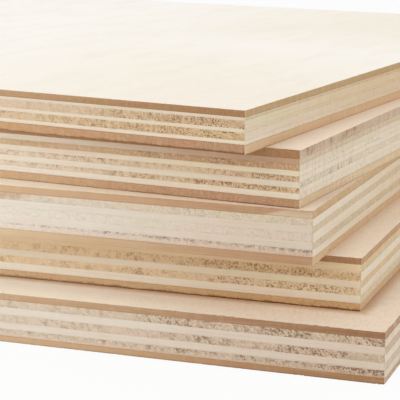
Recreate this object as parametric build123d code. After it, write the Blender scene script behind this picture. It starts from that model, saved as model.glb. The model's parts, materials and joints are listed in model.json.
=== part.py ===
from build123d import *
from dataclasses import dataclass
import os

# A loose stack of five plywood sheets. They lie flat on each other, fanned about one corner.
# The origin is the middle of the bottom sheet's underside. +X runs along that sheet's length,
# +Y across its width, and +Z up. Lengths are in millimetres and turns in degrees.

# The panel size that all five sheets are cut to
panel_length = 600.0
panel_width = 300.0

# Worn edges: the radius of a sheet's upright corners, and the bevel round its two flat faces
corner_radius = 0.6
worn_edge = 0.3


@dataclass
class Sheet:
    """One sheet: the thickness of each ply, and where its near corner lies.

    The face is the upper outer ply and the back is the lower one. Between them, crossbands,
    whose grain runs across the face's, alternate with cores, whose grain runs with it.
    The setbacks place the near corner in from the bottom sheet's +X end and -Y side, and the
    turn is about that corner, anticlockwise from above.
    """

    face: float
    crossbands: list
    cores: list
    back: float
    end_setback: float = 0.0
    side_setback: float = 0.0
    turn: float = 0.0

    def plies(self):
        """Every ply from the upper face down, as its kind and its thickness."""
        inner = []
        for place, crossband in enumerate(self.crossbands):
            inner.append(("crossband", crossband))
            if place < len(self.cores):
                inner.append(("core", self.cores[place]))
        return [("face", self.face)] + inner + [("back", self.back)]

    def thickness(self):
        return sum(thickness for kind, thickness in self.plies())


# The sheets from the floor up: four of nominal 18 mm, of which one has nine plies, and one of
# nominal 15 mm on top
sheet_1 = Sheet(
    face=2.2,
    crossbands=[2.6, 2.6, 2.4],
    cores=[2.7, 2.5],
    back=2.3,
)
sheet_2 = Sheet(
    face=2.2,
    crossbands=[2.7, 2.3, 2.7],
    cores=[3.0, 2.6],
    back=2.7,
    end_setback=13.4,
    side_setback=20.3,
    turn=-0.07,
)
sheet_3 = Sheet(
    face=2.5,
    crossbands=[2.5, 3.0, 2.3],
    cores=[2.4, 2.5],
    back=2.8,
    end_setback=26.0,
    side_setback=5.7,
    turn=-1.55,
)
sheet_4 = Sheet(
    face=2.8,
    crossbands=[1.9, 1.8, 2.0, 1.9],
    cores=[2.0, 1.9, 1.8],
    back=3.0,
    end_setback=31.2,
    side_setback=7.5,
    turn=-5.83,
)
sheet_5 = Sheet(
    face=2.2,
    crossbands=[1.0, 1.2, 1.2],
    cores=[2.7, 2.6],
    back=3.2,
    end_setback=45.6,
    side_setback=-5.4,
    turn=-8.7,
)
stack = [sheet_1, sheet_2, sheet_3, sheet_4, sheet_5]


def veneer(kind, thickness):
    """One ply on its own: a rectangle of veneer, centred, standing on its underside."""
    blank = extrude(RectangleRounded(panel_length, panel_width, corner_radius), thickness)
    if kind == "face":
        return chamfer(blank.edges().group_by(Axis.Z)[-1], worn_edge)
    if kind == "back":
        return chamfer(blank.edges().group_by(Axis.Z)[0], worn_edge)
    return blank


def middle_of(sheet):
    """Where the middle of a sheet lies, found from its near corner and its turn."""
    corner = Pos(panel_length / 2 - sheet.end_setback, -panel_width / 2 + sheet.side_setback)
    return corner * Rot(0, 0, sheet.turn) * Pos(-panel_length / 2, panel_width / 2)


os.makedirs("parts", exist_ok=True)
sheet_underside = 0.0
for number, sheet in enumerate(stack, start=1):
    ply_underside = sheet_underside + sheet.thickness()
    for place, (kind, thickness) in enumerate(sheet.plies(), start=1):
        ply_underside -= thickness
        ply = Pos(0, 0, ply_underside) * middle_of(sheet) * veneer(kind, thickness)
        export_step(ply, f"parts/sheet_{number}_ply_{place}_{kind}.step")
    print(f"sheet_{number}: {len(sheet.plies())} plies, {sheet.thickness():.2f} mm thick")
    sheet_underside += sheet.thickness()
print(f"stack: {sheet_underside:.2f} mm high")
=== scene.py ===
# %% [markdown]
# # A fanned stack of plywood sheets
#
# Five sheets of plywood lie flat on each other. Each sheet is a pile of thin veneers, glued with
# the grain of each one across the next, so a sawn edge shows bands: a veneer cut along its grain is
# smooth and pale, and one cut across its grain is darker and full of open pores. This lesson dresses
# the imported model: it measures each veneer, makes it again with a sawn edge, and gives it a wood
# finish that follows its own grain.

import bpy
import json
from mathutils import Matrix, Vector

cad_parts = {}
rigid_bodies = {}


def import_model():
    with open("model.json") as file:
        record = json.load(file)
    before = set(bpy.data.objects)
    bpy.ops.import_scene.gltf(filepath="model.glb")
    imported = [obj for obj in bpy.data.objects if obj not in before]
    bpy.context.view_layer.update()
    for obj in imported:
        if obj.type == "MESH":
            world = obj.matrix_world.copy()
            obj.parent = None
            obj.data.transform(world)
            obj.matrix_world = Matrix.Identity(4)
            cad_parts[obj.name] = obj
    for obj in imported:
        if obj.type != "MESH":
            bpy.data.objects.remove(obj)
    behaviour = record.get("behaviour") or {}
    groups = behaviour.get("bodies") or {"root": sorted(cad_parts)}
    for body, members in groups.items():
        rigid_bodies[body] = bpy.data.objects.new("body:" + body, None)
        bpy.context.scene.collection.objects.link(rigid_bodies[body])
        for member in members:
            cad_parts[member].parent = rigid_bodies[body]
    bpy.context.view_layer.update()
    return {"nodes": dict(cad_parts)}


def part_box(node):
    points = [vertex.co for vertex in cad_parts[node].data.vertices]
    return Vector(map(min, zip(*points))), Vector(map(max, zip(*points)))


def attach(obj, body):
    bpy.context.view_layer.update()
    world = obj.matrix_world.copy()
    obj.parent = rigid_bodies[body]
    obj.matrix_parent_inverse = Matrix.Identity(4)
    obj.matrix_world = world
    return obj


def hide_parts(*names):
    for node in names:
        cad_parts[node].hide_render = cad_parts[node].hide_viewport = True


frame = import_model()

# %% [markdown]
# ## Measuring the veneers
#
# The places could be typed in again by hand, but then they would go wrong as soon as a sheet is
# moved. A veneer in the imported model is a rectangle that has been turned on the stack, so the spread
# of its corner points gives its middle, its turn and its size. The veneers are named
# sheet_N_ply_M_kind, with sheet 1 on the floor and ply 1 as the sheet's upper face.

# %% Measure a veneer
import bpy
import json
import math
from collections import namedtuple
from mathutils import Matrix, Vector

MILLIMETRE = 0.001
Veneer = namedtuple("Veneer", "node kind middle turn length width thickness")


def measure(node, kind):
    """A veneer with the middle of its underside, its turn and its size, in metres."""
    points = [vertex.co for vertex in frame["nodes"][node].data.vertices]
    low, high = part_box(node)
    middle = sum(points, Vector()) / len(points)
    middle.z = low.z
    spread_xx = sum((p.x - middle.x) ** 2 for p in points)
    spread_yy = sum((p.y - middle.y) ** 2 for p in points)
    spread_xy = sum((p.x - middle.x) * (p.y - middle.y) for p in points)
    turn = 0.5 * math.atan2(2 * spread_xy, spread_xx - spread_yy)
    level = Matrix.Rotation(-turn, 3, "Z")
    flat = [level @ (p - middle) for p in points]
    length = max(p.x for p in flat) - min(p.x for p in flat)
    width = max(p.y for p in flat) - min(p.y for p in flat)
    return Veneer(node, kind, middle, turn, length, width, high.z - low.z)


veneers = {}
for node in sorted(frame["nodes"]):
    _, sheet, _, ply, kind = node.split("_")
    veneers[int(sheet), int(ply)] = measure(node, kind)
for (sheet, ply), veneer in veneers.items():
    if ply == 1:
        size = f"{veneer.length / MILLIMETRE:.1f} x {veneer.width / MILLIMETRE:.1f} mm"
        print(f"Sheet {sheet} is {size}, turned by {math.degrees(veneer.turn):.2f} degrees")

# %% [markdown]
# ## Drawing node trees as sums
#
# A node tree is hard to read as a list of links, so maths is written as plain Python here. A Wire is
# one output of a node, and adding or multiplying two Wires puts a Math node between them. Any other
# node comes from one method, which takes the node's type, its settings and its sockets.


# %% The helpers for node trees
class Wire:
    """One output socket. Sums with it add Math nodes to its tree."""

    def __init__(self, drawing, socket):
        self.drawing = drawing
        self.socket = socket

    def __add__(self, other):
        return self.drawing.maths("ADD", self, other)

    def __radd__(self, other):
        return self.drawing.maths("ADD", other, self)

    def __sub__(self, other):
        return self.drawing.maths("SUBTRACT", self, other)

    def __rsub__(self, other):
        return self.drawing.maths("SUBTRACT", other, self)

    def __mul__(self, other):
        return self.drawing.maths("MULTIPLY", self, other)

    def __rmul__(self, other):
        return self.drawing.maths("MULTIPLY", other, self)

    def __truediv__(self, other):
        return self.drawing.maths("DIVIDE", self, other)

    def __rtruediv__(self, other):
        return self.drawing.maths("DIVIDE", other, self)

    def __lt__(self, other):
        return self.drawing.maths("LESS_THAN", self, other)

    def __gt__(self, other):
        return self.drawing.maths("GREATER_THAN", self, other)

    def __abs__(self):
        return self.drawing.maths("ABSOLUTE", self)


class Drawing:
    """A node tree that is being drawn."""

    def __init__(self, tree):
        self.tree = tree

    def node(self, kind, settings=None, sockets=None, out=0):
        made = self.tree.nodes.new(kind)
        for name, value in (settings or {}).items():
            setattr(made, name, value)
        for key, value in (sockets or {}).items():
            if isinstance(value, Wire):
                self.tree.links.new(value.socket, made.inputs[key])
            else:
                made.inputs[key].default_value = value
        return Wire(self, made.outputs[out]) if made.outputs else None

    def maths(self, operation, first, second=0.0):
        return self.node("ShaderNodeMath", {"operation": operation}, {0: first, 1: second})

    def clamp(self, value):
        """A value held between 0 and 1."""
        return self.node("ShaderNodeClamp", {}, {0: value, 1: 0.0, 2: 1.0})

    def between(self, value, low, high):
        """A soft step: 0 below low, 1 above high."""
        settings = {"interpolation_type": "SMOOTHSTEP"}
        return self.node("ShaderNodeMapRange", settings, {0: value, 1: low, 2: high, 3: 0.0, 4: 1.0})

    def point(self, x, y, z):
        return self.node("ShaderNodeCombineXYZ", {}, {0: x, 1: y, 2: z})

    def parts(self, vector):
        split = self.node("ShaderNodeSeparateXYZ", {}, {0: vector})
        return [Wire(self, split.socket.node.outputs[axis]) for axis in range(3)]

    def noise(self, vector, scale=1.0, detail=2.0, roughness=0.5, distortion=0.0):
        sockets = {"Vector": vector, "Scale": scale, "Detail": detail, "Roughness": roughness,
                   "Distortion": distortion}
        return self.node("ShaderNodeTexNoise", {}, sockets)

    def mix(self, share, first, second, blend="MIX"):
        """Two colours mixed, share 0 giving the first."""
        settings = {"data_type": "RGBA", "blend_type": blend}
        return self.node("ShaderNodeMix", settings, {0: share, 6: first, 7: second}, out=2)


def empty_drawing(owner):
    """A drawing on the emptied node tree of a material or a world."""
    owner.use_nodes = True
    owner.node_tree.nodes.clear()
    return Drawing(owner.node_tree)


def at_least(low, mask):
    """A mask from 0 to 1, raised so that it never falls below low."""
    return low + (1 - low) * mask


def spared(share, mask):
    """1 where the mask is 0, and less by share where it is 1."""
    return 1 - share * mask


print("A mask raised to at least 0.25 runs from", at_least(0.25, 0), "to", at_least(0.25, 1))

# %% [markdown]
# ## A veneer with a sawn edge
#
# All veneers are the same thing at another size: a flat slab with two true faces and four sawn
# sides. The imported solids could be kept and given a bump, but their edges would stay as straight as
# glass. So one Geometry Nodes tree makes them all, with a named input for all that differs.

# %% What the saw tree is told
SIZES = ("Length", "Width", "Thickness", "Near step", "Far step", "Side pits", "Side stretch",
         "End pits", "End stretch", "Step back", "Top chips", "Bottom chips", "Corner wear")
SAW_INPUTS = {name: "NodeSocketFloat" for name in SIZES}
SAW_INPUTS.update({"Seed": "NodeSocketFloat", "Rows": "NodeSocketInt", "Finish": "NodeSocketMaterial"})
print(len(SAW_INPUTS), "inputs tell one veneer from another")

# %% [markdown]
# ## A ring of points round the slab
#
# A saw tooth leaves marks about a millimetre apart, so the narrow sides need points that close. A
# grid would waste most of its points on the flat faces, so the tree lays a ring of points round the
# outline only: from the near corner anticlockwise along the right, back, left and front side. They
# are closest together at the near corner.

# %% Lay the ring
CROWDING = 0.35


def crowd(share):
    """Moves evenly spaced points towards the near corner."""
    return share * (CROWDING + (1 - CROWDING) * share)


def lay_ring(draw, given):
    length, width = given["Length"], given["Width"]

    def steps(distance, step):
        return draw.maths("CEIL", distance / step)

    right_count = steps(width, given["Near step"])
    back_count = steps(length, given["Far step"])
    left_count = steps(width, given["Far step"])
    front_count = steps(length, given["Near step"])
    all_points = right_count + back_count + left_count + front_count
    ring = draw.node("GeometryNodeMeshCircle", {"fill_type": "NGON"}, {"Vertices": all_points})
    index = draw.node("GeometryNodeInputIndex")
    on_right = draw.clamp(index / right_count)
    on_back = draw.clamp((index - right_count) / back_count)
    on_left = draw.clamp((index - right_count - back_count) / left_count)
    on_front = draw.clamp((index - right_count - back_count - left_count) / front_count)
    x = length / 2 - length * on_back + length * (1 - crowd(1 - on_front))
    y = width * crowd(on_right) - width / 2 - width * on_left
    return draw.node("GeometryNodeSetPosition", {}, {"Geometry": ring, "Position": draw.point(x, y, 0.0)})


print(f"Half the points of a near side lie in its nearest {crowd(0.5):.0%}")

# %% [markdown]
# ## Raising the ring
#
# The marks also change from the top of a veneer to its bottom, and one extrusion would leave nothing
# to press in between. So a repeat zone raises the upward face row by row, about half a millimetre at
# a time, and a flipped copy of the first ring closes the slab below.

# %% Raise the slab
CLOSE = 1e-6
FACES_UP = 0.5


def raise_slab(draw, given, ring):
    nodes, links = draw.tree.nodes, draw.tree.links
    row_in = nodes.new("GeometryNodeRepeatInput")
    row_out = nodes.new("GeometryNodeRepeatOutput")
    row_in.pair_with_output(row_out)
    links.new(given["Rows"].socket, row_in.inputs["Iterations"])
    links.new(ring.socket, row_in.inputs["Geometry"])
    facing = draw.parts(draw.node("GeometryNodeInputNormal"))[2]
    sockets = {
        "Mesh": Wire(draw, row_in.outputs["Geometry"]),
        "Selection": facing > FACES_UP,
        "Offset": draw.point(0.0, 0.0, given["Thickness"] / given["Rows"]),
        "Individual": False,
    }
    raised = draw.node("GeometryNodeExtrudeMesh", {"mode": "FACES"}, sockets)
    links.new(raised.socket, row_out.inputs["Geometry"])
    below = draw.node("GeometryNodeFlipFaces", {}, {"Mesh": ring})
    join = nodes.new("GeometryNodeJoinGeometry")
    links.new(row_out.outputs["Geometry"], join.inputs[0])
    links.new(below.socket, join.inputs[0])
    sockets = {"Geometry": Wire(draw, join.outputs[0]), "Distance": CLOSE}
    return draw.node("GeometryNodeMergeByDistance", {}, sockets)


print("Points nearer than", CLOSE, "m become one")

# %% [markdown]
# ## What the saw takes away
#
# The points of the narrow sides are then pressed inwards: in small pits where the fibres were cut
# across, in long shallow grooves where they were cut along, and in chips along an arris. They are
# only ever pressed inwards, so the slab keeps its measured size. Each noise has a fixed seed, so the
# marks are the same at every run.

# %% Pits and chips
PIT_SQUASH = 0.7
PIT_STEP = (0.42, 0.72)
CHIP_STEP = (0.45, 0.7)
CHIPPED_LENGTH_STEP = (0.4, 0.65)
WORN_ALL_ALONG = 0.3
RAGGED = 0.4


def pits(draw, along, height, stretch, seed):
    """Pressed-in spots, drawn out along the side by stretch."""
    where = draw.point(along / stretch, height * PIT_SQUASH, seed)
    found = draw.noise(where, 1.1, detail=2.0, roughness=0.6)
    return draw.between(found, *PIT_STEP)


def chips(draw, along, seed):
    """Where an arris has lost short lengths of veneer."""
    fine = draw.noise(draw.point(along, seed, 3.0), 0.9, detail=2.0)
    coarse = draw.noise(draw.point(along, seed, 9.0), 0.09, detail=3.0)
    chipped = draw.between(fine, *CHIP_STEP) * draw.between(coarse, *CHIPPED_LENGTH_STEP)
    return WORN_ALL_ALONG + chipped + RAGGED * fine


print("An arris keeps at least", WORN_ALL_ALONG, "of its wear between two chips")

# %% [markdown]
# The four upright corners of a sheet are rubbed from handling, so close to a corner both sides are
# pressed in a little more. A point counts as lying on an end, or on a side, when it is within a hair
# of the slab's length or width.

# %% Press the narrow sides in
MILLIMETRES_A_METRE = 1000
CORNER_REACH = 1.2 * MILLIMETRE
TOP_SEED, BOTTOM_SEED, END_SEED = 11.0, 17.0, 31.0


def press_in(draw, given, slab):
    px, py, pz = draw.parts(draw.node("GeometryNodeInputPosition"))
    x_gap = given["Length"] / 2 - abs(px)
    y_gap = given["Width"] / 2 - abs(py)
    on_end, on_side = x_gap < CLOSE, y_gap < CLOSE
    row_height = given["Thickness"] / given["Rows"]
    near_top = draw.clamp(1 - (given["Thickness"] - pz) / row_height)
    near_bottom = draw.clamp(1 - pz / row_height)

    def taken(position, depth, stretch, offset):
        """How far a side is pressed in at a place along it."""
        along, seed = position * MILLIMETRES_A_METRE, given["Seed"]
        chipping = given["Top chips"] * near_top * chips(draw, along, seed + (offset + TOP_SEED))
        low_chips = chips(draw, along, seed + (offset + BOTTOM_SEED))
        chipping = chipping + given["Bottom chips"] * near_bottom * low_chips
        found = pits(draw, along, pz * MILLIMETRES_A_METRE, stretch, seed + offset)
        return depth * found + given["Step back"] + chipping

    def towards_middle(value, amount):
        return amount * draw.maths("SIGN", value) * -1

    side_in = taken(px, given["Side pits"], given["Side stretch"], 0.0)
    end_in = taken(py, given["End pits"], given["End stretch"], END_SEED)
    corner = on_side * draw.clamp(1 - x_gap / CORNER_REACH) + on_end * draw.clamp(1 - y_gap / CORNER_REACH)
    corner = given["Corner wear"] * draw.clamp(corner)
    move_x = towards_middle(px, on_end * (end_in + corner))
    move_y = towards_middle(py, on_side * (side_in + corner))
    sockets = {"Geometry": slab, "Offset": draw.point(move_x, move_y, 0.0)}
    return draw.node("GeometryNodeSetPosition", {}, sockets)


print(f"The rub on an upright corner reaches {CORNER_REACH / MILLIMETRE:.1f} mm")

# %% [markdown]
# ## The whole saw tree
#
# The three steps follow each other in one tree. It ends in Realize Instances and Set Material, so
# that it gives a plain mesh with its finish on it.


# %% Join the steps into one tree
def draw_saw_tree():
    """Builds the tree and gives it with the identifier of each named input."""
    tree = bpy.data.node_groups.new("sawn veneer", "GeometryNodeTree")
    identifiers = {}
    for name, kind in SAW_INPUTS.items():
        entry = tree.interface.new_socket(name=name, in_out="INPUT", socket_type=kind)
        identifiers[name] = entry.identifier
    tree.interface.new_socket(name="Geometry", in_out="OUTPUT", socket_type="NodeSocketGeometry")
    draw = Drawing(tree)
    source = tree.nodes.new("NodeGroupInput")
    given = {name: Wire(draw, source.outputs[name]) for name in SAW_INPUTS}
    slab = press_in(draw, given, raise_slab(draw, given, lay_ring(draw, given)))
    slab = draw.node("GeometryNodeRealizeInstances", {}, {"Geometry": slab})
    slab = draw.node("GeometryNodeSetMaterial", {}, {"Geometry": slab, "Material": given["Finish"]})
    sink = tree.nodes.new("NodeGroupOutput")
    tree.links.new(slab.socket, sink.inputs[0])
    return tree, identifiers


saw_tree, saw_inputs = draw_saw_tree()
print(f"The saw tree has {len(saw_tree.nodes)} nodes and {len(saw_inputs)} named inputs")

# %% [markdown]
# ## Tones of wood
#
# One stack holds many woods. The outer veneers are pale on the flat and brown where they are sawn,
# and the inner ones run from ivory to ochre. Each tone is written once, as it looks in plain light,
# and turned into Blender's linear colour. The last two are not woods but tints: no veneer keeps one
# hue over its whole length, so each drifts a little to rosy and back to greenish.


# %% The palette
def linear(red, green, blue):
    """A colour as it looks, in steps of 0 to 255, as Blender's linear colour."""
    def one(step):
        share = step / 255
        return share / 12.92 if share <= 0.04045 else ((share + 0.055) / 1.055) ** 2.4
    return (one(red), one(green), one(blue), 1.0)


STEPS = {
    "scorch_and_shade": (118, 72, 38),
    "peat": (124, 88, 64),
    "bark": (134, 90, 46),
    "slate": (124, 102, 98),
    "cocoa": (150, 107, 76),
    "umber": (163, 120, 82),
    "russet": (180, 139, 106),
    "amber": (216, 174, 126),
    "fawn": (185, 150, 121),
    "olive": (188, 157, 115),
    "tan": (191, 152, 114),
    "ochre": (198, 160, 112),
    "honey": (204, 172, 133),
    "biscuit": (211, 179, 134),
    "sand": (216, 184, 147),
    "wheat": (221, 196, 160),
    "peach": (236, 212, 178),
    "rose": (209, 184, 164),
    "blush": (224, 203, 184),
    "ash": (200, 176, 152),
    "greige": (213, 198, 181),
    "oat": (214, 197, 170),
    "bran": (214, 198, 176),
    "linen": (219, 206, 184),
    "straw": (224, 209, 182),
    "cream": (227, 213, 192),
    "ivory": (233, 221, 202),
    "bone": (238, 231, 220),
    "chalk": (242, 232, 217),
}
TONES = {name: linear(*steps) for name, steps in STEPS.items()}
ROSY = (1.0, 0.93, 0.89, 1.0)
GREENISH = (0.95, 1.0, 0.88, 1.0)
print(len(TONES), "tones of wood")

# %% [markdown]
# ## Describing a ply
#
# Each ply is described by its two kinds of sawn edge: the long front and back, then the short ends.
# The number says how strongly open pores and torn fibres speckle that edge: little where the grain
# runs along it, much where the grain runs into it. Places that a dull saw tore are given by their
# distance from the corner that the camera sees, their reach and their roughness. Sliders on one
# material could do the same, but a written description is easier to hold against the real edge.


# %% What a ply and a sheet can show
from dataclasses import dataclass, field


@dataclass
class Edge:
    """One kind of sawn edge. Slant leans its pores, band keeps them above that share of the ply's
    thickness, brim gathers them in dashes under the upper glue line, ticks are the upright tears that
    a saw tooth leaves, and fray lets the neighbour's pale wood show along both glue lines."""
    tone: str
    speckle: float = 0.1
    pore: str = "bark"
    slant: float = 0.0
    band: float = 0.0
    brim: float = 0.0
    ticks: float = 0.0
    fray: float = 0.0


@dataclass
class Ply:
    """Torn, stained and pieced places are (millimetres from the near corner, reach, amount), and a
    negative amount spares a place. The paling number and the pale tone say how much painted light
    pales a ply away from the corners and to which tone, in place of its sheet's own."""
    side: Edge
    end: Edge
    torn: list = field(default_factory=list)
    stained: list = field(default_factory=list)
    pieced: list = field(default_factory=list)
    lit_paling: float = None
    far_lit: str = None


@dataclass
class Sheet:
    """What the plies of one sheet share. Skin and mottle are the colour and the pattern of the flat
    face. The two pale tones are what inner and outer plies pale to under painted light, and the two
    paling numbers how much, along the sides and the ends. Glue is how dark a glue line is, and smear
    how much the saw's upright marks show on sides and ends. The burn pair is how dark and how high the
    lower arris is burnt and painted with the shade of the contact below, corner the tone, amount and
    reach of the painted highlight and shade along the upright corners, pore_scale how many pores go on
    a millimetre, and chips how deep the upper and the lower arris are chipped, in millimetres. Golden
    is how much the pores turn golden away from the corners, and the last two how much painted light
    pales the flat face along its long edges and how dark the painted shade beside the sheet above is."""
    grain: str
    skin: tuple
    lit_paling: float
    end_lit_paling: float
    glue: float
    smear: tuple
    scorch_and_shade: tuple
    corner: tuple
    pore_scale: float
    chips: tuple
    plies: list
    mottle: float = 0.6
    far_lit: str = "chalk"
    far_face_lit: str = "sand"
    golden: float = 0.6
    edge_light: float = 0.0
    contact_shade: float = 0.0


SHEETS = {}
print("A plain edge has a speckle of", Edge("straw").speckle)

# %% [markdown]
# ## The sheet on top
#
# It is the thinnest and the cleanest: an almost white face, two golden cores full of short pores,
# and smooth pale crossbands with hardly a mark between them.

# %% Describe the top sheet
SHEETS[5] = Sheet(
    grain="width", skin=linear(247, 240, 226), mottle=0.3, far_face_lit="ochre", lit_paling=0.5, end_lit_paling=0.5,
    glue=0.03, smear=(0.04, 0.08), scorch_and_shade=(0.85, 1.0), corner=("blush", 0.2, 1.5), pore_scale=2.9,
    chips=(0.35, 0.35), plies=[
        Ply(Edge("umber"), Edge("olive", 0.2), lit_paling=0.8, far_lit="honey"),
        Ply(Edge("linen"), Edge("oat", 0.05), far_lit="bone"),
        Ply(Edge("honey", 1.1, fray=0.6), Edge("straw", 0.05), torn=[(30, 34, 0.6)]),
        Ply(Edge("straw"), Edge("straw", 0.05)),
        Ply(Edge("biscuit", 1.3, brim=0.6, fray=0.6), Edge("cream", 0.05), torn=[(40, 44, 0.7)],
            lit_paling=0.35),
        Ply(Edge("cream"), Edge("ivory", 0.05)),
        Ply(Edge("russet", 0.3), Edge("sand", 0.2, ticks=0.2), lit_paling=0.8, far_lit="amber")])
print(len(SHEETS[5].plies), "plies")

# %% [markdown]
# ## The thick sheet under it
#
# It has nine plies. Its right end was sawn with a blunt blade, so upright ticks cross all of its
# plies there. Its second ply is rosy and painted darker all along, for the shade where the top sheet
# hangs over it, and its first ply pales little, so it keeps that painted shade too.

# %% Describe the fourth sheet
SHEETS[4] = Sheet(
    grain="width", skin=linear(243, 225, 206), lit_paling=0.85, end_lit_paling=0.1, glue=0.06,
    smear=(0.05, 0.15), scorch_and_shade=(0.65, 0.5), corner=("blush", 0.2, 1.4), pore_scale=2.7,
    chips=(0.35, 0.35), plies=[
        # The first two plies carry painted shade from the overhang above: a darker tone and little paling.
        Ply(Edge("umber"), Edge("ash", 0.5, "bark", ticks=1.3, fray=0.9), lit_paling=0.3),
        Ply(Edge("fawn", 0.2, "cocoa"), Edge("oat", 0.3, "cocoa", ticks=0.6), lit_paling=1.0),
        Ply(Edge("tan", 1.0, "cocoa"), Edge("cream", ticks=0.4), torn=[(5, 12, -0.9), (26, 9, 1.1)],
            far_lit="wheat"),
        Ply(Edge("straw"), Edge("ivory", 0.2, "slate", ticks=0.7)),
        Ply(Edge("sand", 1.1, brim=0.5, fray=0.4), Edge("ivory", ticks=0.4),
            torn=[(18, 18, 0.4), (88, 26, 0.9)], lit_paling=0.9),
        Ply(Edge("linen"), Edge("cream", 0.3, "slate", ticks=0.9), lit_paling=1.0),
        Ply(Edge("biscuit", 1.4, brim=0.8, fray=0.4), Edge("ivory", ticks=0.4), torn=[(24, 24, 0.6)]),
        Ply(Edge("cream"), Edge("ivory", 0.2, "slate", ticks=0.4), lit_paling=1.0, far_lit="bone"),
        Ply(Edge("russet", 0.4), Edge("wheat", 0.3, "umber", ticks=0.7, fray=0.5), lit_paling=1.0)])
print(len(SHEETS[4].plies), "plies")

# %% [markdown]
# ## The white one in the middle
#
# Its side was cut along the grain of the cores, so it is almost white and smooth, with one row of
# dark dashes low down. A short length is pieced into its face ply at the corner, and a stain has run
# down from that ply further off.

# %% Describe the third sheet
SHEETS[3] = Sheet(
    grain="length", skin=linear(237, 219, 200), far_lit="bone", lit_paling=0.8, end_lit_paling=0.4, glue=0.0,
    smear=(0.04, 0.1), scorch_and_shade=(0.1, 0.3), corner=("umber", 0.5, 0.4), pore_scale=2.2,
    chips=(0.35, 0.08), golden=0.0, edge_light=1.0, plies=[
        Ply(Edge("russet", 0.2), Edge("honey", 0.2), pieced=[(0, 15, 0.65)], lit_paling=0.9),
        Ply(Edge("bran", 0.9, "slate", fray=0.2), Edge("ivory", 0.1), stained=[(113, 14, 0.8)],
            lit_paling=0.4),
        Ply(Edge("greige", 0.05), Edge("oat", 0.2, fray=0.4)),
        Ply(Edge("greige", 0.1, "slate"), Edge("ivory", 0.05)),
        Ply(Edge("greige", 0.05), Edge("oat", 0.3, fray=0.4)),
        Ply(Edge("rose", 1.2, "slate", band=0.5, brim=0.7), Edge("ivory", 0.1)),
        Ply(Edge("russet", 0.2), Edge("sand", 0.2), lit_paling=1.0, far_lit="wheat")])
print(len(SHEETS[3].plies), "plies")

# %% [markdown]
# ## The golden one
#
# Its cores are the most golden of all and stay speckled far along the side. Its lower arris is badly
# burnt and carries the darkest painted contact shade, with a ragged upper limit.

# %% Describe the second sheet
SHEETS[2] = Sheet(
    grain="width", skin=linear(244, 226, 205), far_lit="ivory", lit_paling=0.9, end_lit_paling=0.1, glue=0.04,
    smear=(0.05, 0.12), scorch_and_shade=(1.0, 1.1), corner=("ivory", 0.1, 0.8), pore_scale=2.1,
    chips=(0.08, 0.4), golden=0.9, contact_shade=0.3, plies=[
        Ply(Edge("umber"), Edge("tan", 0.2), lit_paling=1.0, far_lit="wheat"),
        Ply(Edge("wheat", 0.15), Edge("wheat", 0.2), far_lit="peach"),
        Ply(Edge("biscuit", 1.3, fray=0.7), Edge("ivory", 0.1), torn=[(42, 36, 0.8), (120, 50, 1.0)],
            far_lit="peach"),
        Ply(Edge("straw"), Edge("wheat", 0.3, ticks=0.3)),
        Ply(Edge("wheat", 1.4, fray=0.7), Edge("ivory", 0.1), torn=[(24, 26, 0.6), (110, 60, 1.0)],
            far_lit="peach"),
        Ply(Edge("cream"), Edge("straw", 0.2), far_lit="chalk"),
        Ply(Edge("ochre", 0.2), Edge("sand", 0.15), far_lit="sand")])
print(len(SHEETS[2].plies), "plies")

# %% [markdown]
# ## The one on the floor
#
# It is grey and rough. Its crossbands have wide slanting pores in dark clumps, both arrises are
# chipped, and its flat face shows the most: fine flecks, specks, and painted shade beside the sheet above.

# %% Describe the lowest sheet
SHEETS[1] = Sheet(
    grain="length", skin=linear(237, 219, 199), mottle=1.0, lit_paling=0.6, end_lit_paling=0.0, glue=0.05,
    smear=(0.05, 0.2), scorch_and_shade=(0.5, 0.5), corner=("blush", 0.2, 0.8), pore_scale=1.7,
    chips=(0.55, 0.4), golden=0.25, edge_light=1.0, contact_shade=0.8, plies=[
        Ply(Edge("cocoa", 0.3), Edge("fawn", 0.2, ticks=0.4), lit_paling=0.7),
        Ply(Edge("ash", 1.8, "peat", slant=0.35, fray=0.3), Edge("cream", 0.1),
            torn=[(8, 10, 0.6), (35, 7, 1.2), (75, 11, 1.2)], lit_paling=0.4),
        Ply(Edge("greige"), Edge("rose", 0.15), far_lit="bone"),
        Ply(Edge("ash", 1.3, "peat", slant=0.3, fray=0.3), Edge("ivory", 0.1),
            torn=[(4, 12, -0.6), (28, 12, 1.0), (112, 9, 1.0)], lit_paling=0.45),
        Ply(Edge("greige"), Edge("greige", 0.1), far_lit="bone"),
        Ply(Edge("ash", 1.6, "peat", slant=0.2, band=0.35, brim=0.8), Edge("cream", 0.1),
            torn=[(10, 14, 1.1)], lit_paling=0.45),
        Ply(Edge("umber", 0.2), Edge("ash", 0.2, ticks=0.4), lit_paling=0.8)])
print(len(SHEETS[1].plies), "plies, of", len(veneers), "in the stack")

# %% [markdown]
# ## Finding one's way on the sheet
#
# A finish has to know where on its sheet it is: on which narrow side, how far from a corner, how
# high in the ply and which way the fibres run. A painted map could hold that, but a point of the wood
# tells it already: a Mapping node turns it into millimetres on the unturned sheet, and sums give the
# rest. Wood is a bundle of long fibres, so a pattern that follows the grain is read at coordinates
# that run thirty times slower along it.

# %% Where a point lies
from types import SimpleNamespace

FIBRE_STRETCH = 30.0
# The reach over which painted light pales the sawn wood away from a corner.
PALING_REACH = 140.0
OBJECT_POINT = 3


def unturned(draw, veneer):
    """A point of the wood in millimetres from a ply's middle, as if its sheet lay square."""
    place = draw.node("ShaderNodeTexCoord", out=OBJECT_POINT)
    sockets = {"Vector": place, "Location": tuple(veneer.middle), "Rotation": (0.0, 0.0, veneer.turn),
               "Scale": (MILLIMETRE, MILLIMETRE, MILLIMETRE)}
    return draw.parts(draw.node("ShaderNodeMapping", {"vector_type": "TEXTURE"}, sockets))


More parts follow.
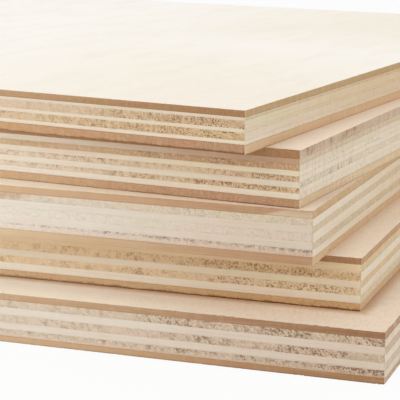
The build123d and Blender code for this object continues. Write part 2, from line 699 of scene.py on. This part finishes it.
def lie_on_sheet(draw, veneer, grain):
    """Where a point of the wood is, in millimetres on its own sheet, with z from the ply's underside."""
    thickness = veneer.thickness / MILLIMETRE
    x, y, z = unturned(draw, veneer)
    spot = SimpleNamespace(x=x, y=y, z=z, thickness=thickness)
    spot.height = z + veneer.middle.z / MILLIMETRE
    x_gap = veneer.length / MILLIMETRE / 2 - abs(x)
    y_gap = veneer.width / MILLIMETRE / 2 - abs(y)
    spot.from_long_edge = y_gap
    spot.on_end = x_gap < y_gap
    spot.on_front = (y < 0) * (1 - spot.on_end)
    spot.from_corner = x_gap + (y_gap - x_gap) * spot.on_end
    spot.from_near = veneer.length / MILLIMETRE / 2 - x
    spot.away = draw.between(spot.from_corner, 0.0, PALING_REACH)
    if veneer.kind == "face":
        spot.to_glue = z
    elif veneer.kind == "back":
        spot.to_glue = thickness - z
    else:
        spot.to_glue = draw.maths("MINIMUM", z, thickness - z)
    spot.fibre_x = x / FIBRE_STRETCH if grain == "length" else x
    spot.fibre_y = y / FIBRE_STRETCH if grain == "width" else y
    spot.fibres_end = spot.on_end if grain == "length" else 1 - spot.on_end
    return spot


def either(spot, ply, name):
    """A number of the ply's side edge or of its end edge, whichever a point lies on."""
    side, end = getattr(ply.side, name), getattr(ply.end, name)
    return side if side == end else side + (end - side) * spot.on_end


print("Sawn wood has paled all it can", PALING_REACH, "mm from a corner")

# %% [markdown]
# ## How rough the saw left it
#
# Pores gather in clumps of a few millimetres, the clumps in patches of a few centimetres, and a dull
# saw tore some places more. One noise would look the same everywhere, so a slow one and a very slow
# one are laid over each other, and the torn places are added.

# %% Clumps, patches and torn places
CLUMP_STEP = (0.4, 0.6)
PATCH_STEP = (0.44, 0.62)
TORN_CORE = 0.5


def rough_places(draw, spot, ply, gathered, seed):
    """How rough the edge is, and the wide patches that it is rough in."""
    flat = draw.point(spot.x, spot.y, seed * 3.0)
    patches = draw.between(draw.noise(flat, scale=0.04, detail=3.0, roughness=0.6), *PATCH_STEP)
    clumps = at_least(0.4, draw.between(gathered, *CLUMP_STEP))
    rough = at_least(0.35, patches) * clumps
    for centre, reach, amount in ply.torn:
        torn = 1 - draw.between(abs(spot.from_near - centre), reach * TORN_CORE, reach)
        rough = rough + torn * spot.on_front * amount * clumps
    return rough, patches


print(f"A torn place is at its worst over {TORN_CORE:.0%} of its reach")

# %% [markdown]
# ## Pores, dashes and ticks
#
# Where fibres are cut across, their open ends show as small dark dots with pale torn fibres between
# them. Modelling them would take millions of faces, so the peaks of a noise are the dots, and away
# from the near corner they run together into blotches. Two marks have a shape of their own: the
# dashes under some glue lines, and the upright ticks of single saw teeth.

# %% The marks on a sawn edge
DOT_STEP = (0.48, 0.63)
BLOTCH_STEP = (0.46, 0.66)
PALE_STEP = (0.52, 0.66)
DASH_STEP = (0.48, 0.62)
DASH_HEIGHT = (0.4, 1.3)
TICK_STEP = (0.5, 0.7)
BAND_SOFTNESS = 0.15
BLOTCHED_NEAR, BLOTCHED_FAR, BLOTCHED_GOLDEN = 0.15, 0.45, 0.4


def open_pores(draw, spot, sheet, ply, seed):
    """How strongly dark pores and pale torn fibres show, each from 0 to 1."""
    slant = spot.z * either(spot, ply, "slant")
    where = draw.point(spot.fibre_x + slant, spot.fibre_y, spot.z * 0.9 + seed)
    pores = draw.noise(where, scale=sheet.pore_scale, detail=1.0, roughness=0.6, distortion=0.3)
    gathered = draw.noise(where, scale=0.45, detail=2.0, roughness=0.6)
    rough, patches = rough_places(draw, spot, ply, gathered, seed)
    speckle = either(spot, ply, "speckle") * spared(0.5, spot.away)
    if ply.side.band:
        low, high = ply.side.band - BAND_SOFTNESS, ply.side.band + BAND_SOFTNESS
        speckle = speckle * at_least(0.25, draw.between(spot.z / spot.thickness, low, high))
    dots = draw.between(pores, *DOT_STEP) * rough * spared(0.75, spot.away)
    blotches = draw.between(gathered, *BLOTCH_STEP) * at_least(0.3, patches)
    blotched_far = BLOTCHED_FAR + BLOTCHED_GOLDEN * sheet.golden
    blotches = blotches * (BLOTCHED_NEAR + blotched_far * spot.away)
    dark = (dots + blotches) * speckle
    where = draw.point(spot.fibre_x + slant, spot.fibre_y, spot.z - seed)
    fibres = draw.noise(where, scale=1.7, detail=1.0, roughness=0.6, distortion=0.3)
    pale = draw.clamp(draw.between(fibres, *PALE_STEP) * speckle)
    if ply.side.brim:
        dark = dark + dashes(draw, spot, seed) * ply.side.brim
    return draw.clamp(dark), pale, patches


def dashes(draw, spot, seed):
    """Dark dashes on the long sides, close under the upper glue line."""
    where = draw.point(spot.x * 0.6, spot.y * 0.6, spot.z * 0.9 + seed)
    found = draw.noise(where, detail=3.0, roughness=0.7)
    below = 1 - draw.between(spot.thickness - spot.z, *DASH_HEIGHT)
    return draw.between(found, *DASH_STEP) * below * (1 - spot.on_end) * spared(0.55, spot.away)


def saw_ticks(draw, spot, ply, patches, seed):
    """The upright tears of single saw teeth, from 0 to 1."""
    where = draw.point(spot.x, spot.y, spot.z * 0.35 + seed)
    ticks = draw.noise(where, scale=0.55, detail=2.0, roughness=0.7)
    ticks = draw.between(ticks, *TICK_STEP) * at_least(0.4, patches) * spared(0.6, spot.away)
    return ticks * either(spot, ply, "ticks")


print("Dashes run in the upper", DASH_HEIGHT[1], "mm of a ply")

# %% [markdown]
# ## The plain tone of a sawn edge
#
# Under the marks lies a tone that is never even. It is browner near the corners and paler away from
# them, a paling that is painted light, drifts from rosy to greenish, has faint streaks along the
# fibres, and carries the upright smears that the saw left across all plies at once. Those smears are
# read at the height in the whole stack, not in the ply, so that they run on from one ply to the next.

# %% Tone, hue and smears
ROSY_STEP, ROSY_SHARE = (0.46, 0.68), 0.45
GREENISH_STEP, GREENISH_SHARE = (0.32, 0.54), 0.4
STREAK_STEP, STREAK_SHARE = (0.45, 0.7), 0.15
PALE_SMEAR_STEP = (0.48, 0.66)
DARK_SMEAR_STEP = (0.34, 0.5)


def plain_tone(draw, spot, sheet, ply, outer, seed):
    """The wood's colour before its marks, and the streaks that also give it relief."""
    tone = draw.mix(spot.on_end, TONES[ply.side.tone], TONES[ply.end.tone])
    # Painted light: away from the corners the sawn wood pales to a lighter tone.
    lit_paling = sheet.lit_paling if ply.lit_paling is None else ply.lit_paling
    far_lit = TONES[ply.far_lit or (sheet.far_face_lit if outer else sheet.far_lit)]
    tone = draw.mix(spot.away * (1 - spot.on_end) * lit_paling, tone, far_lit)
    if not outer:
        tone = draw.mix(spot.away * spot.on_end * sheet.end_lit_paling, tone, TONES["biscuit"])
    hue = draw.noise(draw.point(spot.x, spot.y, spot.z * 0.4 + seed * 2.0), scale=0.05, detail=3.0)
    tone = draw.mix(draw.between(hue, *ROSY_STEP) * ROSY_SHARE, tone, ROSY, "MULTIPLY")
    tone = draw.mix((1 - draw.between(hue, *GREENISH_STEP)) * GREENISH_SHARE, tone, GREENISH, "MULTIPLY")
    grain = draw.point(spot.fibre_x * 0.8, spot.fibre_y * 0.8, spot.z * 1.4 + seed)
    streak = draw.noise(grain, scale=1.0, detail=3.0, roughness=0.6)
    tone = draw.mix(draw.between(streak, *STREAK_STEP) * STREAK_SHARE, tone, TONES["tan"])
    blade = draw.noise(draw.point(spot.x, spot.y, spot.height * 0.2), scale=0.4, detail=3.0, roughness=0.6)
    smear = sheet.smear[0] + (sheet.smear[1] - sheet.smear[0]) * spot.on_end
    tone = draw.mix(draw.between(blade, *PALE_SMEAR_STEP) * smear, tone, TONES["chalk"])
    tone = draw.mix((1 - draw.between(blade, *DARK_SMEAR_STEP)) * smear, tone, TONES["ash"])
    return tone, streak


print(f"Streaks turn an edge tan by {STREAK_SHARE:.0%} at most")

# %% [markdown]
# ## A pieced length and a stain
#
# A face veneer is often made up of lengths, glued end to end with a slanting joint, and glue or water
# can run down from it. Both could be pieces of their own, but they have no thickness to see, so they
# are places where the tone changes.

# %% Repairs and stains
JOINT_LEAN = 8.0
JOINT_SOFTNESS = 4.0
UNDER_THE_SKIN = (0.55, 0.9)
STAIN_CORE = 0.4
DRIP_STEP = (1.1, 1.9)


def repairs(draw, spot, ply, tone, seed):
    """A paler length pieced in, and a stain that ran down from above."""
    for centre, reach, amount in ply.pieced:
        up = spot.z / spot.thickness
        joint = centre + reach
        pieced = 1 - draw.between(spot.from_near + up * JOINT_LEAN, joint, joint + JOINT_SOFTNESS)
        pieced = pieced * spared(0.6, draw.between(up, *UNDER_THE_SKIN))
        tone = draw.mix(pieced * spot.on_front * amount, tone, TONES["oat"])
    for centre, reach, amount in ply.stained:
        runs = draw.noise(draw.point(spot.x * 0.35, spot.z * 0.2, seed), detail=2.0)
        nearby = 1 - draw.between(abs(spot.from_near - centre), reach * STAIN_CORE, reach)
        drip = draw.between(runs * 1.4 + nearby * 0.6 + spot.z / spot.thickness * 0.7, *DRIP_STEP)
        tone = draw.mix(drip * nearby * spot.on_front * amount, tone, TONES["honey"])
    return tone


print("A pieced length ends", JOINT_LEAN, "mm nearer at its top than at its bottom")

# %% [markdown]
# ## Glue, burnt arrises with painted shade, and painted corner highlights
#
# Between two veneers lies a glue line thinner than a hair, so it is only a faint darkening. The
# outer veneers have a darker one, because their brown wood soaks up more. The lower arris of a sheet
# is where the blade came out hot: the wood is burnt there, and painted shade of the contact with the
# sheet below lies on it too, darkest at the very edge and ragged upwards. The upright corners carry
# a painted highlight, and on the third sheet a painted dark line of shade. All three could be strips
# of their own, but they have no clear limit, so they are shades of the tone.

# %% Glue, burns and wear
GLUE_HEIGHT = 0.25
GLUE_WAVER = 0.3
OUTER_GLUE = 0.35
FRAY_HEIGHT = (0.1, 0.7)
FRAY_STEP = (0.42, 0.62)
RAGGED_STEP = (0.3, 0.7)
BURNT_SHADED_BLACK, BURNT_SHADED_BROWN = 0.2, 0.4
CORNER_SHADING_FULL, CORNER_SHADING_END = 0.1, 0.4


def glue_lines(draw, spot, sheet, ply, outer, tone, seed):
    waver = draw.noise(draw.point(spot.x * 0.5, spot.y * 0.5, seed), detail=2.0)
    glue = 1 - draw.between(spot.to_glue - waver * GLUE_WAVER, 0.0, GLUE_HEIGHT)
    fray = draw.noise(draw.point(spot.x, spot.y, spot.z * 0.5 - seed), scale=0.9, detail=2.0)
    fray = (1 - draw.between(spot.to_glue, *FRAY_HEIGHT)) * draw.between(fray, *FRAY_STEP)
    tone = draw.mix(fray * either(spot, ply, "fray"), tone, TONES["cream"])
    tone = draw.mix(glue * (sheet.glue + (OUTER_GLUE if outer else 0.0)), tone, TONES["umber"])
    return tone, glue


# The burn at the lower arris, with painted shade of the contact below mixed in.
def burnt_and_shaded_arris(draw, spot, sheet, tone, seed):
    dark, high = sheet.scorch_and_shade
    where = draw.point(spot.x * 0.25, spot.y * 0.25, spot.z * 0.5 + seed)
    ragged = draw.noise(where, detail=4.0, roughness=0.7)
    ragged = draw.between(ragged, *RAGGED_STEP) * high
    burnt_and_shaded = 1 - draw.between(spot.z, BURNT_SHADED_BLACK * high, BURNT_SHADED_BROWN * high + ragged)
    burnt_and_shaded = burnt_and_shaded * spared(0.85, spot.on_end) * spared(0.35, spot.away)
    return draw.mix(burnt_and_shaded * dark, tone, TONES["scorch_and_shade"])


# Painted highlight along the upright corners, and on the third sheet a painted dark line of shade.
def painted_corner_shading(draw, spot, sheet, tone):
    corner_tone, amount, reach = sheet.corner
    reach = reach * spot.on_end
    corner_shading = 1 - draw.between(spot.from_corner, CORNER_SHADING_FULL + 0.5 * reach, CORNER_SHADING_END + 0.6 * reach)
    return draw.mix(corner_shading * amount, tone, TONES[corner_tone])


print("A glue line is at most", GLUE_HEIGHT + GLUE_WAVER, "mm high")

# %% [markdown]
# ## Painted shade beside the sheet above
#
# Where one sheet ends on the next, the inner corner lies in shade, so a brown line of painted shade
# runs on the lower sheet beside the upper one. The shade of the lamps alone is too soft and too grey
# for it. The outline of the sheet above was measured with its face ply, so the distance to it is a
# sum too.

# %% How near the sheet above is
# The tint of the painted shade on a flat face beside the sheet above.
CONTACT_SHADE_TINT = (0.68, 0.52, 0.37, 1.0)
CONTACT_SHADE_REACH = 5.0


def beside_sheet_above(draw, above):
    """1 right at the outline of the sheet that lies on this one, 0 from CONTACT_SHADE_REACH on."""
    x, y, _ = unturned(draw, above)
    x_over = abs(x) - above.length / MILLIMETRE / 2
    y_over = abs(y) - above.width / MILLIMETRE / 2
    return 1 - draw.between(abs(draw.maths("MAXIMUM", x_over, y_over)), 0.0, CONTACT_SHADE_REACH)


# How far the painted shade beside the sheet above reaches.
print("Dust reaches", CONTACT_SHADE_REACH, "mm out from the sheet above")

# %% [markdown]
# ## The flat face
#
# The outer veneers are sanded, so their flat faces are the palest wood of all, with a faint figure
# along the grain, fine pores and here and there a dark speck. Painted light pales them with the
# distance from the near corner, the top sheet all over and the others along their length, where only
# a strip lies open. On two sheets painted light also pales them along their long edges.

# %% The sanded skin
# The tone that painted light pales a flat face to, away from the near corner.
PAINTED_LIGHT_WOOD = linear(254, 252, 248)
# The warm tone of painted light along the long edges of a flat face.
EDGE_LIGHT_WOOD = linear(255, 246, 228)
PAINTED_LIGHT_REACH = (10.0, 220.0)
EDGE_LIGHT_REACH = (2.0, 14.0)
FIGURE_STEP, FIGURE_SHARE = (0.4, 0.8), 0.12
PORE_STEP, PORE_SHARE = (0.45, 0.65), 0.15
CLOUD_STEP, CLOUD_SHARE = (0.45, 0.7), 0.12
FLECK_STEP, FLECK_SHARE = (0.48, 0.64), 0.25
SPECK_STEP, SPECK_SHARE = (0.74, 0.8), 0.4


def sanded_skin(draw, spot, sheet, above, seed):
    """The colour of the flat face, and the pores that also give it relief."""
    figure = draw.point(spot.fibre_x * 0.12, spot.fibre_y * 0.12, seed)
    figure = draw.noise(figure, scale=0.7, detail=4.0, roughness=0.6, distortion=1.2)
    pores = draw.point(spot.fibre_x * 3.0, spot.fibre_y * 3.0, seed + 5.0)
    pores = draw.noise(pores, scale=0.9, roughness=0.6)
    clouds = draw.point(spot.x * 0.3 + spot.fibre_x, spot.y * 0.3 + spot.fibre_y, seed)
    clouds = draw.noise(clouds, scale=0.09, detail=4.0, roughness=0.65)
    flecks = draw.noise(draw.point(spot.x, spot.y * 0.25, seed + 3.0), scale=1.0, detail=2.0)
    specks = draw.noise(draw.point(spot.x * 0.5, spot.y * 0.5, seed + 9.0), scale=0.9, detail=1.0)
    # Painted light: the flat face pales with the distance from the near corner.
    far_lit = draw.between(spot.from_near if above else spot.from_corner, *PAINTED_LIGHT_REACH)
    mottle = sheet.mottle * spared(0.8, spot.away)
    skin = draw.mix(far_lit * 0.8, sheet.skin, PAINTED_LIGHT_WOOD)
    # Painted light: a strip along the long edges pales, away from the corners.
    if sheet.edge_light:
        edge_light = spot.away * (1 - draw.between(spot.from_long_edge, *EDGE_LIGHT_REACH)) * sheet.edge_light
        skin = draw.mix(edge_light, skin, EDGE_LIGHT_WOOD)
    skin = draw.mix(draw.between(figure, *FIGURE_STEP) * FIGURE_SHARE * mottle, skin, TONES["sand"])
    skin = draw.mix(draw.between(pores, *PORE_STEP) * PORE_SHARE * mottle, skin, TONES["sand"])
    skin = draw.mix(draw.between(clouds, *CLOUD_STEP) * CLOUD_SHARE, skin, TONES["blush"])
    skin = draw.mix(draw.between(flecks, *FLECK_STEP) * FLECK_SHARE * mottle, skin, TONES["rose"])
    skin = draw.mix(draw.between(specks, *SPECK_STEP) * SPECK_SHARE * mottle, skin, TONES["umber"])
    # Painted shade: a brown line on the flat face beside the sheet that lies on it.
    if sheet.contact_shade:
        skin = draw.mix(beside_sheet_above(draw, above) * sheet.contact_shade, skin, CONTACT_SHADE_TINT, "MULTIPLY")
    return skin, pores


print("A flat face is at its palest", PAINTED_LIGHT_REACH[1], "mm from the corner")

# %% [markdown]
# ## One material for each ply
#
# The steps above are put together here, from the plain tone to the marks, the burn and the painted
# shade and highlights. Only colour, roughness and relief change over the surface, because the export
# bakes those. The relief is shallow: dark pores are holes, and the glue lines lie a little deeper
# than the wood. Which part of a ply's surface is flat face comes from its normal.

# %% The finish of one ply
PALE_SHARE, DARK_SHARE, TICK_SHARE = 0.45, 0.8, 0.55
STREAK_RELIEF, GLUE_RELIEF, SKIN_RELIEF = 0.3, 0.4, 0.15
PORE_DEPTH = 0.2 * MILLIMETRE
RELIEF = 0.4
SAWN_ROUGHNESS, PORE_ROUGHNESS = 0.75, 0.15
SHINE = 0.25
FLAT_STEP = (0.8, 0.95)
SURFACE_NORMAL = 1


def grain_of(sheet, kind):
    """Which way a ply's fibres run: the crossbands lie across all the others."""
    if kind != "crossband":
        return sheet.grain
    return "width" if sheet.grain == "length" else "length"


def wood(veneer, sheet, ply, above, seed):
    material = bpy.data.materials.new(veneer.node.replace("_ply_", " ply "))
    draw = empty_drawing(material)
    outer = veneer.kind in ("face", "back")
    spot = lie_on_sheet(draw, veneer, grain_of(sheet, veneer.kind))
    dark, pale, patches = open_pores(draw, spot, sheet, ply, seed)
    ticks = saw_ticks(draw, spot, ply, patches, seed)
    pore = draw.mix(spot.on_end, TONES[ply.side.pore], TONES[ply.end.pore])
    if sheet.golden:
        pore = draw.mix(spot.away * sheet.golden, pore, TONES["ochre"])
    tone, streak = plain_tone(draw, spot, sheet, ply, outer, seed)
    tone = repairs(draw, spot, ply, tone, seed)
    tone, glue = glue_lines(draw, spot, sheet, ply, outer, tone, seed)
    tone = draw.mix(pale * PALE_SHARE, tone, TONES["cream"])
    tone = draw.mix(dark * DARK_SHARE, tone, pore)
    tone = draw.mix(ticks * TICK_SHARE, tone, pore)
    # The back ply's lower arris gets its burn and the painted contact shade.
    if veneer.kind == "back":
        tone = burnt_and_shaded_arris(draw, spot, sheet, tone, seed)
    # Painted highlight and shade along the upright corners.
    tone = painted_corner_shading(draw, spot, sheet, tone)
    height = (1 - dark) * at_least(0.3, spot.fibres_end) + streak * STREAK_RELIEF - GLUE_RELIEF * glue
    if outer:
        flat = draw.parts(draw.node("ShaderNodeTexCoord", out=SURFACE_NORMAL))[2]
        flat = draw.between(abs(flat), *FLAT_STEP)
        skin, pores = sanded_skin(draw, spot, sheet, above, seed)
        tone = draw.mix(flat, tone, skin)
        height = height * (1 - flat) + pores * -SKIN_RELIEF * flat
    sockets = {"Height": height, "Strength": RELIEF, "Distance": PORE_DEPTH}
    relief = draw.node("ShaderNodeBump", {}, sockets)
    sockets = {"Base Color": tone, "Roughness": SAWN_ROUGHNESS + PORE_ROUGHNESS * dark,
               "Normal": relief, "Specular IOR Level": SHINE}
    shader = draw.node("ShaderNodeBsdfPrincipled", {}, sockets)
    draw.node("ShaderNodeOutputMaterial", {}, {"Surface": shader})
    return material


print("The crossbands of the top sheet run along its", grain_of(SHEETS[5], "crossband"))

# %% [markdown]
# ## How deep the saw bites
#
# Across the fibres a blade tears out small pits, and along them it leaves long shallow grooves. Each
# ply also stands back a little from the next, because the woods shrink by different amounts. Only
# the outer arris of a face or back ply is chipped, as the inner ones are held by their neighbours.

# %% The depths for one ply
ROW_HEIGHT = 0.5 * MILLIMETRE
FEWEST_ROWS = 2
NEAR_STEP = 0.9 * MILLIMETRE
FAR_STEP = 1.8 * MILLIMETRE
ACROSS = {"pits": 0.35 * MILLIMETRE, "stretch": 1.0}
ALONG = {"pits": 0.06 * MILLIMETRE, "stretch": 12.0}
STANDS_BACK = (0.04, 0.07, 0.1)
SOUND_ARRIS = 0.06
CORNER_WEAR = 0.4 * MILLIMETRE


def saw_values(veneer, sheet, ply_number):
    """What the tree's inputs get for one ply."""
    side, end = (ACROSS, ALONG) if grain_of(sheet, veneer.kind) == "width" else (ALONG, ACROSS)
    top, bottom = sheet.chips
    return {
        "Length": veneer.length,
        "Width": veneer.width,
        "Thickness": veneer.thickness,
        "Rows": max(FEWEST_ROWS, round(veneer.thickness / ROW_HEIGHT)),
        "Near step": NEAR_STEP,
        "Far step": FAR_STEP,
        "Side pits": side["pits"],
        "Side stretch": side["stretch"],
        "End pits": end["pits"],
        "End stretch": end["stretch"],
        "Step back": STANDS_BACK[ply_number % len(STANDS_BACK)] * MILLIMETRE,
        "Top chips": (top if veneer.kind == "face" else SOUND_ARRIS) * MILLIMETRE,
        "Bottom chips": (bottom if veneer.kind == "back" else SOUND_ARRIS) * MILLIMETRE,
        "Corner wear": CORNER_WEAR,
    }


rows = [saw_values(veneer, SHEETS[number], ply)["Rows"] for (number, ply), veneer in veneers.items()]
print("A ply has", min(rows), "to", max(rows), "rows")

# %% [markdown]
# ## Sawing every veneer
#
# Each ply gets its own slab from the tree. The modifier's inputs are set before the object is looked
# at, the result is taken as a plain mesh and moved to the ply's measured place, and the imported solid
# that it stands for is hidden. A seed from the numbers of the sheet and the ply keeps any two from
# having the same marks.

# %% Make the plies
SEED_BY_SHEET = 13.7
SEED_BY_PLY = 5.3


def sawn_mesh(veneer, values):
    """The tree's slab as a plain mesh in its place on the stack."""
    blank = bpy.data.objects.new("blank", bpy.data.meshes.new("blank"))
    root.objects.link(blank)
    saw = blank.modifiers.new("saw", "NODES")
    saw.node_group = saw_tree
    for name, value in values.items():
        saw[saw_inputs[name]] = value
    bpy.context.view_layer.update()
    evaluated = blank.evaluated_get(bpy.context.evaluated_depsgraph_get())
    mesh = bpy.data.meshes.new_from_object(evaluated)
    bpy.data.objects.remove(blank)
    mesh.transform(Matrix.Translation(veneer.middle) @ Matrix.Rotation(veneer.turn, 4, "Z"))
    return mesh


root = bpy.context.scene.collection
triangles = 0
for (number, ply), veneer in veneers.items():
    sheet = SHEETS[number]
    seed = number * SEED_BY_SHEET + ply * SEED_BY_PLY
    above = veneers.get((number + 1, 1))
    finish = wood(veneer, sheet, sheet.plies[ply - 1], above, seed)
    mesh = sawn_mesh(veneer, {**saw_values(veneer, sheet, ply), "Seed": seed, "Finish": finish})
    sawn = bpy.data.objects.new(veneer.node + "_sawn", mesh)
    root.objects.link(sawn)
    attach(sawn, "root")
    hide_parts(veneer.node)
    triangles += sum(len(polygon.vertices) - 2 for polygon in mesh.polygons)
print(len(veneers), "plies sawn, with", triangles, "triangles in all")

# %% [markdown]
# ## What sees the background as white
#
# The stack stands on plain white. A floor and a sky bright enough to look white would also bleach the
# wood, so both are white only for rays that reach the camera straight, by a reflection or through
# glass, and give softer light to everything else.

# %% Rays that see white
WHITE_FOR = ("Is Camera Ray", "Is Glossy Ray", "Is Transmission Ray")


def whiteness(draw):
    """1 for rays that come straight from the camera or by a reflection or through glass."""
    path = draw.node("ShaderNodeLightPath").socket.node
    straight, mirrored, passed = [Wire(draw, path.outputs[name]) for name in WHITE_FOR]
    return draw.clamp(straight + mirrored + passed)


print(len(WHITE_FOR), "kinds of ray see white")

# %% [markdown]
# ## The floor
#
# One large plane. It glows for the camera, so that it reads white, and its small matt share keeps
# the shadow that ties the stack to the ground.

# %% Lay the floor
FLOOR_REACH = 6.0
FLOOR_GLOW = 0.9
MATT_WHITE = (0.9, 0.9, 0.9, 1.0)
WHITE = (1.0, 1.0, 1.0, 1.0)
floor_mesh = bpy.data.meshes.new("floor")
corners = [(-FLOOR_REACH, -FLOOR_REACH, 0), (FLOOR_REACH, -FLOOR_REACH, 0),
           (FLOOR_REACH, FLOOR_REACH, 0), (-FLOOR_REACH, FLOOR_REACH, 0)]
floor_mesh.from_pydata(corners, [], [(0, 1, 2, 3)])
floor = bpy.data.objects.new("floor", floor_mesh)
root.objects.link(floor)
floor_finish = bpy.data.materials.new("white floor")
draw = empty_drawing(floor_finish)
matt = draw.node("ShaderNodeBsdfDiffuse", {}, {"Color": MATT_WHITE})
glow = draw.node("ShaderNodeEmission", {}, {"Color": WHITE, "Strength": 1.0})
seen = draw.node("ShaderNodeMixShader", {}, {0: whiteness(draw) * FLOOR_GLOW, 1: matt, 2: glow})
draw.node("ShaderNodeOutputMaterial", {}, {"Surface": seen})
floor_mesh.materials.append(floor_finish)
print("The floor reaches", FLOOR_REACH, "m each way")

# %% [markdown]
# ## The sky
#
# The light of a bright cloudy day comes from everywhere, so the world is one plain white. Its
# strength for the wood is about half, and the lamps below add the direction.

# %% Light the sky
SKY = 0.52
world = bpy.data.worlds.new("daylight")
bpy.context.scene.world = world
draw = empty_drawing(world)
strength = at_least(SKY, whiteness(draw))
sky = draw.node("ShaderNodeBackground", {}, {"Color": WHITE, "Strength": strength})
draw.node("ShaderNodeOutputWorld", {}, {"Surface": sky})
print("The sky lights the wood with a strength of", SKY)

# %% [markdown]
# ## Lamps
#
# The photograph has no hard shadow, only a soft darkening under each overhang, so every lamp is a
# large square panel. One hangs over the stack, two stand in front, the lower one to light the plies
# under an overhang, one stands by the short ends, and a weak one keeps the back from going dull.
# Together with the sky they light a colour about as it is written.


# %% The soft lamps
def soft_lamp(name, power, size, place, target, colour):
    lamp = bpy.data.lights.new(name, "AREA")
    lamp.energy = power
    lamp.size = size
    lamp.color = colour
    holder = bpy.data.objects.new(name, lamp)
    holder.location = place
    holder.rotation_euler = (Vector(target) - Vector(place)).to_track_quat("-Z", "Y").to_euler()
    root.objects.link(holder)


DAYLIGHT = (1.0, 0.99, 0.97)
WARM = (1.0, 0.98, 0.95)
NEAR_CORNER = (0.1, -0.05, 0.05)
soft_lamp("overhead", 7.2, 1.5, (-0.3, 0.45, 1.9), (-0.05, 0.1, 0.05), DAYLIGHT)
soft_lamp("high in front", 6.8, 1.0, (-0.5, -1.3, 1.3), NEAR_CORNER, DAYLIGHT)
soft_lamp("low in front", 7.0, 1.2, (-0.4, -1.7, 0.45), NEAR_CORNER, DAYLIGHT)
soft_lamp("on the right", 6.2, 1.0, (1.5, -0.3, 0.8), (0.3, 0.0, 0.05), WARM)
soft_lamp("behind", 3.0, 1.2, (-0.9, 1.5, 0.8), (-0.1, 0.15, 0.05), DAYLIGHT)
print(sum(thing.type == "LIGHT" for thing in root.objects), "soft lamps")

# %% [markdown]
# ## Camera
#
# A long lens close to the near corner gives the photograph's view: two fans of edges that run off
# the picture on both sides. Its place was worked out from the picture of the five near corners and
# the directions of the edges, so the numbers below are measured and not round.

# %% The camera
CAMERA_PLACE = (0.4097, -0.6276, 0.1682)
CAMERA_TURN = 19.84
CAMERA_DROP = 12.49
LENS = 144.5
camera_data = bpy.data.cameras.new("camera")
camera_data.sensor_width = 36.0
camera_data.lens = LENS
camera_data.clip_start = 0.05
camera_data.clip_end = 30.0
camera = bpy.data.objects.new("camera", camera_data)
camera.location = CAMERA_PLACE
camera.rotation_euler = (math.radians(90 - CAMERA_DROP), 0.0, math.radians(CAMERA_TURN))
root.objects.link(camera)
bpy.context.scene.camera = camera
bpy.context.scene.view_settings.view_transform = "Standard"
print(f"The camera looks {CAMERA_DROP} degrees down through a {LENS} mm lens")
